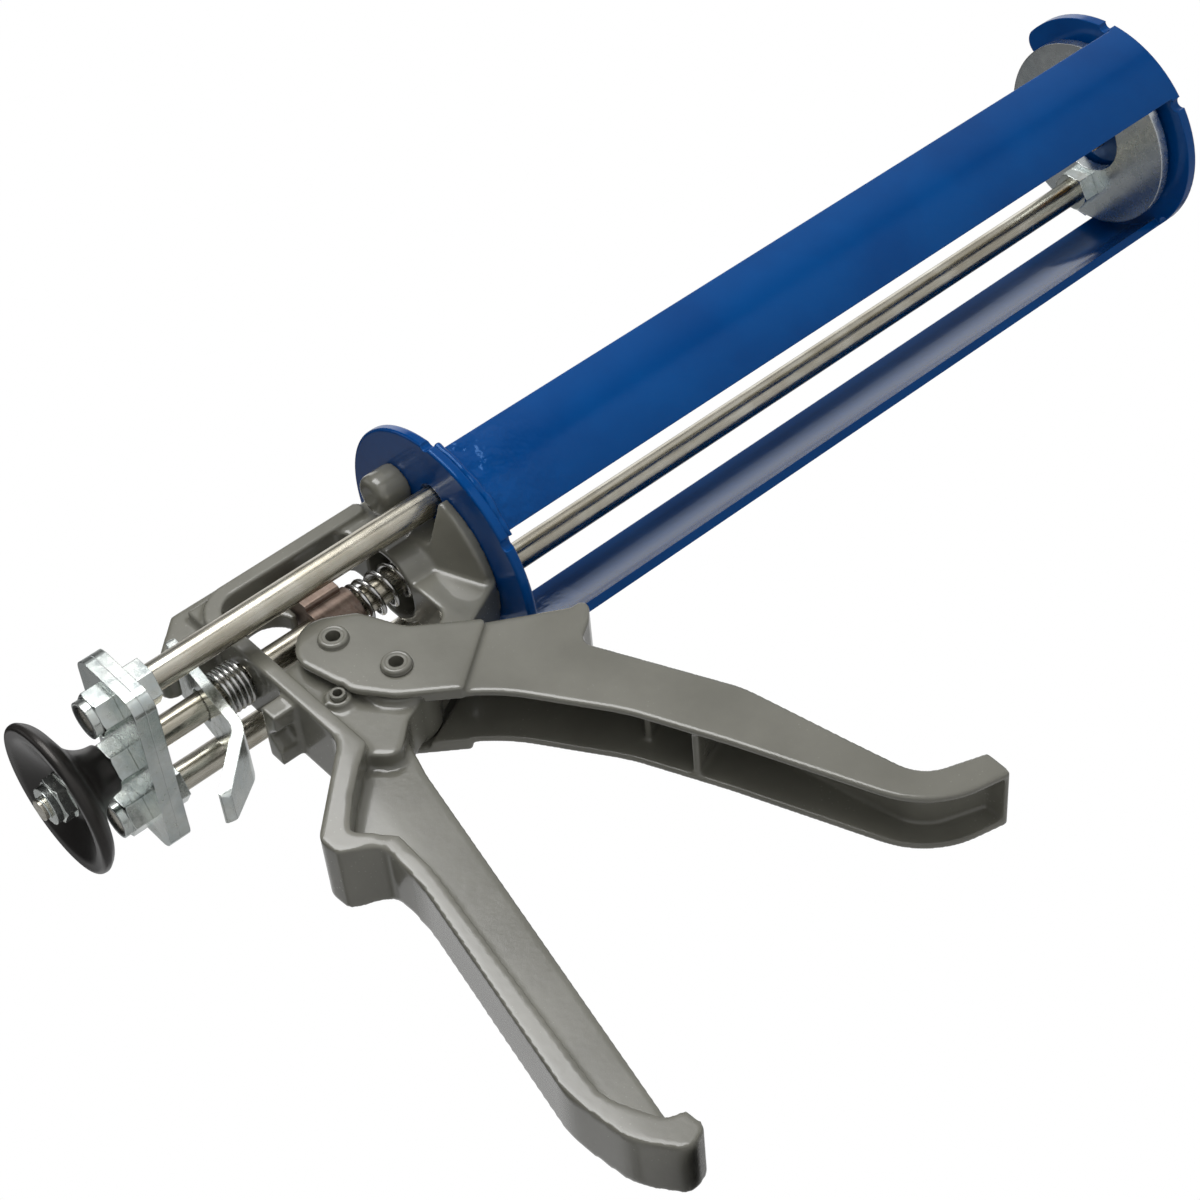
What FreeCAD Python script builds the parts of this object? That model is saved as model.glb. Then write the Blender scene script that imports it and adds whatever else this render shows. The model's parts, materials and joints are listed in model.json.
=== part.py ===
import FreeCAD, Part

import math
import os
import re

from types import SimpleNamespace

from FreeCAD import Placement, Rotation, Vector

# Coaxial cartridge gun. +X points along the barrel to the nozzle, +Y to the left, +Z up.
# The origin is on the barrel axis, on the front face of the rear plate, where a cartridge seats.

os.makedirs("parts", exist_ok=True)
doc = FreeCAD.newDocument("CaulkingGun")

SIZES = {
    # cradle and rear plate
    "bay_length": 263.0,
    "plate_thick": 3.0,
    "rear_plate_radius": 38.0,
    "plate_rim": 1.5,
    "rail_thick": 2.5,
    "rail_top_angle": 3.0,
    "rail_bottom_angle": 49.0,
    "nozzle_slot_half": 14.0,
    "nozzle_slot_floor": 0.5,
    "horn_round": 5.0,
    "relief_radius": 1.8,
    "rail_tab_depth": 1.5,
    # clearances
    "run_gap": 0.06,
    "seat_gap": 0.3,
    "loose_gap": 1.0,
    # rods
    "rod_radius": 4.0,
    "rod_offset": 19.5,
    "rod_front_gap": 1.5,
    "ring_gap": 3.5,
    "ring_thick": 4.0,
    "ring_bore": 12.5,
    "ring_bevel": 1.0,
    "tip_length": 15.5,
    "tip_head_step": 1.4,
    "tip_head_length": 5.0,
    "tip_band_length": 2.0,
    "tip_band_step": 0.4,
    # yoke and knob
    "yoke_front": 101.0,
    "yoke_thick": 3.2,
    "yoke_half_width": 28.0,
    "yoke_half_height": 13.0,
    "yoke_corner": 5.0,
    "nut_wall": 1.75,
    "nut_length": 5.6,
    "nut_collar": 2.2,
    "insert_wall": 0.7,
    "knob_nut_length": 3.2,
    "stud_radius": 3.0,
    "stud_proud": 1.9,
    "knob_length": 16.5,
    "knob_radius": 22.4,
    "knob_neck": 7.0,
    "knob_dish": 4.5,
    "knob_lip": 1.6,
    "washer_radius": 6.5,
    "washer_thick": 1.2,
    # casting
    "flange_radius": 26.0,
    "flange_thick": 3.0,
    "flange_taper": 6.0,
    "hub_radius": 12.5,
    "body_half": 7.4,
    "rib_half": 9.0,
    "wall_half": 11.0,
    "web_half": 2.6,
    "grip_half": 9.0,
    "bridge_top": 29.0,
    "bridge_half": 4.0,
    "flange_waist": 13.0,
    "flange_waist_drop": 7.0,
    "rib_top": 24.3,
    "window_front": 20.5,
    "window_rear": 64.7,
    "window_top": 19.5,
    "window_floor": 26.7,
    "sill_top": -10.9,
    "wall_thick": 4.6,
    "pocket_radius": 10.0,
    "pocket_depth": 11.0,
    "ear_offset": 15.5,
    "ear_height": 15.5,
    "ear_radius": 6.5,
    "ear_length": 9.5,
    "bolt_low": 20.5,
    "bolt_radius": 3.0,
    "bolt_length": 7.5,
    "bolt_head": 4.0,
    "bolt_flats": 10.0,
    "lug_half": 9.0,
    "lug_reach": 7.0,
    "lug_top": 19.0,
    "lug_thick": 6.0,
    # trigger and drive
    "pivot_back": 43.6,
    "pivot_drop": 34.6,
    "drive_back": 49.6,
    "drive_drop": 15.6,
    "rivet_radius": 3.0,
    "rivet_head": 6.4,
    "rivet_dome": 2.4,
    "rivet_flare": 4.3,
    "rivet_hollow": 2.0,
    "boss_radius": 10.0,
    "boss_step": 2.0,
    "cheek_thick": 2.2,
    "lever_gap": 0.4,
    "lever_wall": 2.0,
    "cheek_radius": 11.2,
    "lever_rib": 2.0,
    "stop_pin_radius": 2.0,
    "stop_pin_wall": 0.7,
    "stop_pin_proud": 1.0,
    "stop_pin_inset": 1.2,
    "stop_pin_rise": 4.5,
    "stop_boss": 3.6,
    "block_front": 35.0,
    "block_rear": 46.2,
    "block_half": 8.0,
    "block_top": 15.2,
    "block_bottom": 2.0,
    "block_edge": 1.0,
    "sleeve_wall": 2.5,
    "sleeve_proud": 2.0,
    "toe_half": 5.0,
    "toe_drop": 20.0,
    "drive_wire": 0.75,
    "drive_coil_gap": 1.5,
    "drive_pitch": 5.2,
    # release catch
    "catch_thick": 3.0,
    "catch_top": 17.6,
    "catch_back": 79.2,
    "catch_tilt": 7.0,
    "catch_half": 9.0,
    "catch_bend": 21.5,
    "catch_tab": 20.0,
    "catch_tab_angle": 42.0,
    "catch_tip_half": 4.5,
    "catch_gap": 0.75,
    "slot_gap": 0.7,
    "slot_floor": 8.0,
    "release_wire": 0.75,
    "release_coil_gap": 2.0,
    "release_pitch": 3.1,
}

sheet = doc.addObject("Spreadsheet::Sheet", "Sizes")
for row, (alias, value) in enumerate(SIZES.items(), start=1):
    sheet.set(f"A{row}", alias)
    sheet.set(f"B{row}", str(value))
    sheet.setAlias(f"B{row}", alias)
doc.recompute()

S = SimpleNamespace(**SIZES)
CRADLE_RADIUS = "(rear_plate_radius - plate_rim)"
RING_RADIUS = f"({CRADLE_RADIUS} - rail_thick - ring_gap)"
NUT_FLATS = "(2 * (rod_radius + nut_wall))"
DRIVE_COIL = "(rod_radius + drive_coil_gap)"
RELEASE_COIL = "(rod_radius + release_coil_gap)"
WORD = re.compile(r"[a-z_]+")
TURNS = {
    "x": Rotation(Vector(0, 1, 0), 90),
    "y": Rotation(Vector(1, 0, 0), -90),
    "z": Rotation(),
}


def bind(obj, **formulas):
    """Binds properties to formulas in the sheet's aliases; __ in a name stands for a dot."""
    for name, formula in formulas.items():
        text = WORD.sub(lambda m: f"Sizes.{m[0]}" if m[0] in SIZES else m[0], str(formula))
        obj.setExpression(name.replace("__", "."), text)
    return obj


def place(obj, at, axis="z"):
    """Turns a shape's own z axis to the named axis and binds its position."""
    obj.Placement = Placement(Vector(), TURNS[axis])
    spots = dict(zip(("Placement__Base__x", "Placement__Base__y", "Placement__Base__z"), at))
    return bind(obj, **spots)


def cylinder(name, radius, length, at, axis="x"):
    obj = doc.addObject("Part::Cylinder", name)
    bind(obj, Radius=radius, Height=length)
    return place(obj, at, axis)


def cone(name, start_radius, end_radius, length, at, axis="x"):
    obj = doc.addObject("Part::Cone", name)
    bind(obj, Radius1=start_radius, Radius2=end_radius, Height=length)
    return place(obj, at, axis)


def prism(name, flats, length, at):
    """A hexagonal bar along x, given across its flats."""
    obj = doc.addObject("Part::Prism", name)
    obj.Polygon = 6
    bind(obj, Circumradius=f"({flats}) / sqrt(3)", Height=length)
    return place(obj, at, "x")


def box(name, lengths, at):
    obj = doc.addObject("Part::Box", name)
    bind(obj, Length=lengths[0], Width=lengths[1], Height=lengths[2])
    return place(obj, at)


def fuse(name, *shapes):
    obj = doc.addObject("Part::MultiFuse", name)
    obj.Shapes = list(shapes)
    return obj


def common(name, *shapes):
    obj = doc.addObject("Part::MultiCommon", name)
    obj.Shapes = list(shapes)
    return obj


def cut(name, base, *tools):
    obj = doc.addObject("Part::Cut", name)
    obj.Base = base
    obj.Tool = tools[0] if len(tools) == 1 else fuse(name + "_tools", *tools)
    return obj


def group(name, *shapes):
    obj = doc.addObject("Part::Compound", name)
    obj.Links = list(shapes)
    return obj


def rounded(corners):
    """Closed outline through (x, y, radius) corners: straight edges joined by tangent arcs."""
    edges = []
    ends = []
    for i, (x, y, radius) in enumerate(corners):
        here = Vector(x, y, 0)
        if not radius:
            ends.append((here, here))
            continue
        before = Vector(*corners[i - 1][:2], 0) - here
        after = Vector(*corners[(i + 1) % len(corners)][:2], 0) - here
        half = before.getAngle(after) / 2
        reach = radius / math.tan(half)
        start = here + before.normalize() * reach
        finish = here + after.normalize() * reach
        centre = here + (before + after).normalize() * (radius / math.sin(half))
        first = math.atan2(start.y - centre.y, start.x - centre.x)
        last = math.atan2(finish.y - centre.y, finish.x - centre.x)
        if (last - first) % (2 * math.pi) > math.pi:
            first, last = last, first
        edges.append(Part.ArcOfCircle(Part.Circle(centre, Vector(0, 0, 1), radius), first, last))
        ends.append((start, finish))
    for i, (start, _) in enumerate(ends):
        previous = ends[i - 1][1]
        if previous.distanceToPoint(start) > 1e-6:
            edges.append(Part.LineSegment(previous, start))
    return edges


def sketch(body, role, name, edges):
    """A sketch on one of the body's own origin planes; its x and y follow that plane's axes."""
    obj = body.newObject("Sketcher::SketchObject", name)
    obj.AttachmentSupport = [(next(f for f in body.Origin.OriginFeatures if f.Role == role), "")]
    obj.MapMode = "FlatFace"
    obj.addGeometry(edges, False)
    return obj


def pad(body, name, role, edges, length):
    """Material on both sides of the sketch plane, length wide in all."""
    obj = body.newObject("PartDesign::Pad", name)
    obj.Profile = sketch(body, role, name + "_outline", edges)
    obj.SideType = "Symmetric"
    bind(obj, Length=length)
    doc.recompute()
    return obj


def pocket(body, name, role, edges, length):
    """A cut on both sides of the sketch plane, length wide in all."""
    before = body.Shape.Volume
    obj = body.newObject("PartDesign::Pocket", name)
    obj.Profile = sketch(body, role, name + "_outline", edges)
    obj.SideType = "Symmetric"
    bind(obj, Length=length)
    doc.recompute()
    if body.Shape.Volume >= before - 1:
        raise ValueError(f"{name} cuts nothing")
    return obj


def new_body(name):
    return doc.addObject("PartDesign::Body", name)


def slab(name, role, corners, width):
    """A body made of one padded outline."""
    body = new_body(name)
    pad(body, name + "_pad", role, rounded(corners), width)
    return body


def turned(name, corners, at):
    """A body turned about its x axis from an (x, radius) outline."""
    body = new_body(name)
    profile = sketch(body, "XY_Plane", name + "_outline", rounded(corners))
    turn = body.newObject("PartDesign::Revolution", name + "_turn")
    turn.Profile = profile
    turn.ReferenceAxis = (profile, ["H_Axis"])
    turn.Angle = 360
    doc.recompute()
    return place(body, at)


def coil(name, wire, radius, pitch, length, at):
    """A helical spring along x."""
    spine = doc.addObject("Part::Helix", name + "_spine")
    bind(spine, Pitch=pitch, Height=f"({length}) - 2 * {wire}", Radius=radius)
    section = doc.addObject("Part::Circle", name + "_section")
    section.Placement.Rotation = Rotation(Vector(1, 0, 0), 90)
    bind(section, Radius=wire, Placement__Base__x=radius)
    sweep = doc.addObject("Part::Sweep", name)
    sweep.Sections = [section]
    sweep.Spine = (spine, ["Edge1"])
    sweep.Solid = True
    sweep.Frenet = True
    doc.recompute()
    return place(sweep, at, "x")


def polar(radius, degrees):
    return radius * math.cos(math.radians(degrees)), radius * math.sin(math.radians(degrees))


# ---- Cradle: one folded sheet, the front plate with a curved rail down each side ----


def rail_section(side):
    """Half of the rail's section in (y, z): an arc strip below the barrel axis."""
    turn = (180 + S.rail_top_angle, 180 + S.rail_bottom_angle)
    if side > 0:
        turn = (-S.rail_bottom_angle, -S.rail_top_angle)
    outer = S.rear_plate_radius - S.plate_rim
    inner = outer - S.rail_thick
    arcs = [
        Part.ArcOfCircle(Part.Circle(Vector(), Vector(0, 0, 1), radius), *map(math.radians, turn))
        for radius in (inner, outer)
    ]
    ends = [
        Part.LineSegment(Vector(*polar(inner, a), 0), Vector(*polar(outer, a), 0))
        for a in turn
    ]
    return arcs + ends


def rail(name, side):
    body = new_body(name)
    strip = body.newObject("PartDesign::Pad", name + "_pad")
    strip.Profile = sketch(body, "YZ_Plane", name + "_outline", rail_section(side))
    bind(strip, Length="bay_length + plate_thick / 2 + rail_tab_depth")
    doc.recompute()
    return place(body, ("-rail_tab_depth", 0, 0))


def rim_notches(name, x, radius):
    """Small round notches in a plate's rim, one beside each long edge of each rail."""
    notches = []
    for side, sign in (("left", 1), ("right", -1)):
        for edge, angle in (("top", S.rail_top_angle - 4), ("low", S.rail_bottom_angle + 4)):
            y, z = polar(radius, -angle)
            at = (x, sign * y, z)
            notches.append(
                cylinder(f"{name}_{edge}_{side}", "relief_radius", "plate_thick + 2", at)
            )
    return notches


def horn_trim(side, sign):
    """What is taken off the point of a horn of the nozzle slot to leave it rounded."""
    rim = S.rear_plate_radius - S.plate_rim
    y = S.nozzle_slot_half + S.horn_round
    z = math.sqrt((rim - S.horn_round) ** 2 - y**2)
    start = S.nozzle_slot_half - 1
    width = y * rim / (rim - S.horn_round) - start
    corner = start if sign > 0 else -start - width
    block = box(
        f"horn_block_{side}",
        ("3 * plate_thick", width, S.rear_plate_radius + 1 - z),
        ("bay_length - plate_thick", corner, z),
    )
    at = ("bay_length - 2 * plate_thick", sign * y, z)
    nose = cylinder(f"horn_nose_{side}", "horn_round", "5 * plate_thick", at)
    return cut(f"horn_trim_{side}", block, nose)


def cradle_frame():
    plate = cylinder("front_disc", CRADLE_RADIUS, "plate_thick", ("bay_length", 0, 0))
    slot_height = "(nozzle_slot_half - nozzle_slot_floor)"
    slot = fuse(
        "nozzle_slot",
        cylinder(
            "slot_round",
            "nozzle_slot_half",
            "3 * plate_thick",
            ("bay_length - plate_thick", 0, slot_height),
        ),
        box(
            "slot_way",
            ("3 * plate_thick", "2 * nozzle_slot_half", "rear_plate_radius"),
            ("bay_length - plate_thick", "-nozzle_slot_half", slot_height),
        ),
    )
    reliefs = rim_notches("fold_relief", "bay_length - 1", S.rear_plate_radius - S.plate_rim)
    horns = [horn_trim("left", 1), horn_trim("right", -1)]
    body = fuse("cradle_blank", plate, rail("rail_left", 1), rail("rail_right", -1))
    return cut("cradle_frame", body, slot, *horns, *reliefs)


# ---- Rear plate: the disc that carries the rails and bolts to the casting ----


def rod_tools(name, x, length, outer_radius, centre_radius):
    """Bores for the three push rods through whatever crosses them."""
    tools = [cylinder(name + "_centre", centre_radius, length, (x, 0, 0))]
    for side, sign in (("left", ""), ("right", "-")):
        tools.append(cylinder(f"{name}_{side}", outer_radius, length, (x, f"{sign}rod_offset", 0)))
    return tools


BOLT_SPOTS = (
    ("left", "ear_offset", "ear_height"),
    ("right", "-ear_offset", "ear_height"),
    ("low", "0", "-bolt_low"),
)


def rear_plate():
    disc = cylinder("rear_disc", "rear_plate_radius", "plate_thick", ("-plate_thick", 0, 0))
    edge = doc.addObject("Part::Fillet", "rear_disc_edge")
    edge.Base = disc
    doc.recompute()
    circles = [
        i
        for i, e in enumerate(disc.Shape.Edges, start=1)
        if e.Curve.TypeId == "Part::GeomCircle" and e.BoundBox.XLength < 0.1
    ]
    edge.Edges = [(i, S.plate_thick / 4, S.plate_thick / 4) for i in circles]
    tools = rod_tools(
        "plate_bore",
        "-plate_thick - 1",
        "plate_thick + 2",
        "rod_radius + loose_gap",
        "rod_radius + loose_gap",
    )
    for label, y, z in BOLT_SPOTS:
        tools.append(
            cylinder(
                f"plate_bolt_hole_{label}",
                "bolt_radius + seat_gap",
                "plate_thick + 2",
                ("-plate_thick - 1", y, z),
            )
        )
    for side in (-1, 1):
        tools.append(rail_socket(side))
    tools += rim_notches("rim_notch", "-plate_thick - 1", S.rear_plate_radius + 0.6)
    return cut("rear_plate", edge, *tools)


def rail_socket(side):
    """The shallow seat that takes the end of a rail in the plate's front face."""
    name = f"rail_socket_{'left' if side > 0 else 'right'}"
    body = new_body(name)
    strip = body.newObject("PartDesign::Pad", name + "_pad")
    strip.Profile = sketch(body, "YZ_Plane", name + "_outline", rail_section(side))
    bind(strip, Length="rail_tab_depth + 1")
    doc.recompute()
    return place(body, ("-rail_tab_depth", 0, 0))


# ---- Handle casting: flange, window frame, catch beak and T-section grip in one piece ----

GRIP_BACK = [
    (-92.5, -65.5, 5),
    (-91.8, -72.5, 3),
    (-82.0, -78.0, 5),
    (-82.2, -92.0, 60),
    (-96.3, -162.0, 25),
    (-94.0, -181.0, 18),
    (-86.0, -192.0, 4),
    (-79.0, -189.5, 2.5),
]
GRIP_INSIDE = [
    (-79.6, -183.5, 1.2),
    (-84.5, -181.5, 3),
    (-90.6, -168.0, 15),
    (-76.8, -88.0, 60),
    (-77.0, -78.0, 3),
    (-85.6, -69.0, 2.5),
]
GRIP_FRONT_TOP = (-56.8, -61.7)
GRIP_FRONT_FOOT = (-82.5, -182.8)


CHEEK_INNER = "(body_half + boss_step + seat_gap)"
CHEEK_HALF = f"({CHEEK_INNER} + cheek_thick)"
LEVER_INNER = "(body_half + lever_gap)"
STOP_PIN = ("drive_back + cheek_radius - stop_pin_inset", "pivot_drop - stop_pin_rise")


def stop_spot():
    """The stop pin's (x, z), just behind the rim of the trigger's round head."""
    back = S.drive_back + S.cheek_radius - S.stop_pin_inset
    return -back, S.stop_pin_rise - S.pivot_drop


def casting_body():
    """Every part of the casting that is an outline padded across its width."""
    body = new_body("casting_body")
    rear_face = S.window_rear + S.wall_thick
    frame = [
        (-S.plate_thick - 1, S.rib_top - 1.5, 0),
        (-12.5, S.bridge_top - 0.5, 2),
        (-72.0, S.bridge_top, 2),
        (-91.0, 11.5, 3.4),
        (-83.0, 9.8, 3),
        (-rear_face, 11.5, 0),
        (-rear_face, -46.0, 0),
        (-60.0, -56.0, 4),
        (-50.5, -47.5, 4),
        (-S.pivot_back, -S.pivot_drop - S.boss_radius, 6),
        (-20.5, -34.0, 1.5),
        (-S.plate_thick - 1, -S.flange_radius, 0),
    ]
    pad(body, "frame", "XZ_Plane", rounded(frame), "2 * body_half")
    notch_rear = -(S.drive_back + S.rivet_radius + 2 * S.seat_gap)
    window = [
        (-S.window_front, S.window_top, 4),
        (-S.window_rear, S.window_top, 8),
        (-S.window_rear, S.sill_top, 2),
        (notch_rear, S.sill_top, 2),
        (notch_rear, -21.0, 3),
        (-37.5, -22.5, 3),
        (-35.0, -S.window_floor, 3),
        (-S.window_front, -S.window_floor, 5),
    ]
    pocket(body, "window", "XZ_Plane", rounded(window), "2 * body_half + 2")
    rib = [
        (-12.0, S.rib_top, 1.5),
        (-rear_face, S.rib_top, 12),
        (-rear_face, 5.0, 0),
        (-S.window_rear, 5.0, 0),
        (-S.window_rear, S.window_top, 8),
        (-12.0, S.window_top, 1.5),
    ]
    pad(body, "top_rib", "XZ_Plane", rounded(rib), "2 * rib_half")
    arch_front = S.block_rear + S.seat_gap
    arch = [
        (-arch_front, S.window_top + 2, 0),
        (-S.window_rear - 1, S.window_top + 2, 0),
        (-S.window_rear - 1, S.rod_radius + 2.6, 0),
        (-arch_front, S.rod_radius + 2.6, 0),
    ]
    pad(body, "arch", "XZ_Plane", rounded(arch), "2 * web_half")
    web = [
        (-52.0, -46.0, 0),
        (*GRIP_FRONT_TOP, 20),
        (*GRIP_FRONT_FOOT, 0),
        (-91.0, -181.0, 0),
        (-93.0, -165.0, 0),
        (-79.5, -90.0, 0),
        (-80.0, -76.0, 0),
        (-88.0, -69.0, 0),
        (-rear_face, -50.0, 0),
    ]
    pad(body, "grip_web", "XZ_Plane", rounded(web), "2 * web_half")
    pivot = [Part.Circle(Vector(-S.pivot_back, -S.pivot_drop, 0), Vector(0, 0, 1), S.boss_radius)]
    pad(body, "pivot_boss", "XZ_Plane", pivot, "2 * (body_half + boss_step)")
    stop = [Part.Circle(Vector(*stop_spot(), 0), Vector(0, 0, 1), S.stop_boss)]
    pad(body, "stop_boss", "XZ_Plane", stop, "2 * (body_half + boss_step)")
    half_rib = S.rod_radius + 4.6
    hollow = [Part.Circle(Vector(-56.8, S.rod_radius + 0.6, 0), Vector(0, 0, 1), half_rib - 0.2)]
    pocket(body, "arch_cut", "XZ_Plane", hollow, "2 * web_half + 0.2")
    return body


def back_flange():
    """Rear wall and the wide back of the grip, narrower towards the foot."""
    rear_face = S.window_rear + S.wall_thick
    side_view = [(-rear_face, 8.0, 0), (-rear_face, -43.0, 8)]
    side_view += GRIP_BACK + GRIP_INSIDE
    side_view += [(-78.0, -60.5, 3), (-70.5, -53.5, 3), (-S.window_rear, -49.0, 2)]
    side_view += [(-S.window_rear, 8.0, 0)]
    band = slab("back_band", "XZ_Plane", side_view, "2 * wall_half + 2")
    end_view = [
        (-S.wall_half + 2, 9.0, 0),
        (-S.wall_half, 2.0, 2),
        (-S.wall_half, -74.0, 12),
        (-S.grip_half, -84.0, 12),
        (-S.grip_half, -195.0, 4),
    ]
    end_view += [(-y, z, radius) for y, z, radius in reversed(end_view)]
    width = slab("back_width", "YZ_Plane", end_view, "4 * window_rear")
    return common("back_flange", band, width)


def side_trims():
    """What is taken off each side: the flange beside the rods, and the bridge above its rib."""
    tools = []
    for side, start in (("left", ""), ("right", "-40 - ")):
        tools.append(
            box(
                f"waist_trim_{side}",
                ("flange_thick + flange_taper + 1", "40", "flange_waist_drop + 40"),
                (
                    "-plate_thick - flange_thick - flange_taper",
                    f"{start}flange_waist",
                    "-flange_waist_drop",
                ),
            )
        )
        tools.append(
            box(
                f"bridge_trim_{side}",
                ("window_rear + 40", "40", "20"),
                ("-window_rear - 40", f"{start}bridge_half", "rib_top"),
            )
        )
        tools.append(
            box(
                f"beak_trim_{side}",
                ("40", "40", "bridge_top"),
                ("-window_rear - wall_thick - 40", f"{start}bridge_half", "rod_radius + 4.6"),
            )
        )
    return tools


def handle_casting():
    seat = "-plate_thick"
    solids = [casting_body(), back_flange()]
    solids.append(
        cylinder("flange", "flange_radius", "flange_thick", (f"{seat} - flange_thick", 0, 0))
    )
    solids.append(
        cone(
            "flange_slope",
            "hub_radius",
            "flange_radius",
            "flange_taper",
            (f"{seat} - flange_thick - flange_taper", 0, 0),
        )
    )
    solids.append(
        cylinder("hub", "hub_radius", "window_front - plate_thick", ("-window_front", 0, 0))
    )
    blank = fuse("casting_core", *solids)
    solids = [cut("casting_waisted", blank, *side_trims())]
    ear = [
        (-S.ear_length, 0, 0),
        (-S.ear_length, S.ear_radius, S.ear_radius * 0.35),
        (0, S.ear_radius, 0),
        (0, 0, 0),
    ]
    for side, sign in (("left", ""), ("right", "-")):
        solids.append(turned(f"ear_{side}", ear, (seat, f"{sign}ear_offset", "ear_height")))
    lug = box(
        "lug_block",
        ("lug_reach + 1", "2 * lug_half", "lug_thick"),
        (
            "-window_rear - wall_thick - lug_reach",
            "-lug_half",
            "-lug_top - lug_thick",
        ),
    )
    solids.append(lug)
    tools = rod_tools(
        "casting_bore",
        "-window_rear - wall_thick - 1",
        "window_rear + wall_thick",
        "rod_radius + 2 * loose_gap",
        "rod_radius + run_gap",
    )
    tools.append(
        cylinder("spring_pocket", "pocket_radius", "pocket_depth", ("-window_front", 0, 0))
    )
    for label, y, z in BOLT_SPOTS:
        at = (f"{seat} - bolt_length", y, z)
        tools.append(cylinder(f"tapped_hole_{label}", "bolt_radius", "bolt_length + 1", at))
    for label, back, drop, radius in (
        ("pivot_hole", "pivot_back", "pivot_drop", "rivet_radius + run_gap"),
        ("stop_hole", *STOP_PIN, "stop_pin_radius"),
    ):
        at = (f"-({back})", "-2 * body_half", f"-({drop})")
        tools.append(cylinder(label, radius, "4 * body_half", at, "y"))
    lean = "(catch_top - slot_floor) * tan(catch_tilt)"
    tools.append(
        box(
            "catch_slot",
            (
                f"catch_thick + 2 * slot_gap + {lean}",
                "4 * body_half",
                "catch_top - slot_floor + slot_gap",
            ),
            (
                f"-catch_back - catch_thick / 2 - slot_gap - {lean}",
                "-2 * body_half",
                "slot_floor",
            ),
        )
    )
    mouth = -S.lug_top - S.lug_thick - 1
    notch_view = [(-5.0, mouth, 0), (5.0, mouth, 0), (0.0, -S.lug_top - 1.6, 1)]
    notch = slab("lug_notch", "YZ_Plane", notch_view, "2 * (lug_reach - 1.5)")
    place(notch, ("-window_rear - wall_thick - lug_reach", 0, 0))
    tools.append(notch)
    return cut("handle_casting", fuse("casting_blank", *solids), *tools)


def frame_bolts():
    bolts = []
    for label, y, z in BOLT_SPOTS:
        shank_at = ("-plate_thick - bolt_length + 1", y, z)
        shank = cylinder(
            f"bolt_shank_{label}",
            "bolt_radius - run_gap",
            "bolt_length + plate_thick - 1",
            shank_at,
        )
        head = prism(f"bolt_head_{label}", "bolt_flats", "bolt_head", ("0", y, z))
        bolts.append(fuse(f"frame_bolt_{label}", shank, head))
    return group("frame_bolts", *bolts)


# ---- Trigger, a channel open to the rear, with its two rivets ----

LEVER_RIBS = {
    "upper": ((-4.5, -84.3), (3.8, -80.6)),
    "lower": ((-3.2, -101.5), (10.6, -95.4)),
}


def trigger():
    top = [
        (-39.0, -12.0, 3),
        (-33.0, -25.0, 12),
        (-21.0, -34.2, 30),
    ]
    bump = [(3.2, -48.9, 3), (10.0, -48.0, 2.1), (3.4, -55.5, 4), (-3.4, -60.0, 3.5)]
    front = [(15.5, -101.0, 30), (22.2, -134.0, 60), (26.2, -152.6, 12), (42.9, -159.0, 1)]
    back = [(42.4, -167.5, 1), (20.4, -162.2, 26), (0.5, -112.0, 120), (-11.0, -86.0, 60)]
    back += [(-30.0, -57.0, 50), (-50.0, -42.5, 10), (-57.0, -33.0, 8), (-61.4, -14.0, 9)]
    crown = [(-52.0, -3.4, 9)]
    outline = top + bump + front + back + crown
    cavity = top + [(1.0, -51.0, 6), (-3.0, -62.0, 6)] + front + back + crown
    shift = S.lever_wall * math.sqrt(2) / 2 * 1.2
    cavity = [(x - shift, z - shift, radius) for x, z, radius in cavity]
    cheek = top[:2] + [(-16.5, -37.6, 1), (-36.5, -52.9, 1)] + back[5:] + crown
    straddle = [
        (-8.0, 4.0, 0),
        (-8.0, -29.6, 0),
        (-20.5, -35.2, 3),
        (-S.pivot_back, -S.pivot_drop - S.boss_radius - 1.2, 3),
        (-70.0, -57.7, 0),
        (-70.0, 4.0, 0),
    ]
    body = new_body("trigger_body")
    pad(body, "channel", "XZ_Plane", rounded(outline), f"2 * ({LEVER_INNER} + lever_wall)")
    pad(body, "cheeks", "XZ_Plane", rounded(cheek), f"2 * {CHEEK_HALF}")
    pocket(body, "hollow", "XZ_Plane", rounded(cavity), f"2 * {LEVER_INNER}")
    pocket(body, "cheek_hollow", "XZ_Plane", rounded(straddle), f"2 * {CHEEK_INNER}")
    for label, ends in LEVER_RIBS.items():
        (x0, z0), (x1, z1) = ends
        along = Vector(x1 - x0, z1 - z0, 0).normalize() * S.lever_rib
        strip = [(x0, z0, 0), (x1, z1, 0)]
        strip += [(x1 + along.y, z1 - along.x, 0), (x0 + along.y, z0 - along.x, 0)]
        width = f"2 * {LEVER_INNER} + lever_wall"
        pad(body, f"rib_{label}", "XZ_Plane", rounded(strip), width)
    tools = []
    for label, back_by, drop in (
        ("pivot", "pivot_back", "pivot_drop"),
        ("drive", "drive_back", "drive_drop"),
    ):
        at = (f"-{back_by}", f"-2 * {CHEEK_HALF}", f"-{drop}")
        radius = "rivet_radius + run_gap" if label == "pivot" else "rivet_radius"
        tools.append(cylinder(f"{label}_eye", radius, f"4 * {CHEEK_HALF}", at, "y"))
    stop_at = (f"-({STOP_PIN[0]})", f"-2 * {CHEEK_HALF}", f"-({STOP_PIN[1]})")
    tools.append(
        cylinder("stop_relief", "stop_pin_radius + seat_gap", f"4 * {CHEEK_HALF}", stop_at, "y")
    )
    plate_reach = ("-plate_thick - loose_gap", 0, 0)
    tools.append(
        cylinder(
            "plate_relief",
            "rear_plate_radius + loose_gap",
            "plate_thick + 2 * loose_gap",
            plate_reach,
        )
    )
    return cut("trigger", body, *tools)


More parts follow.
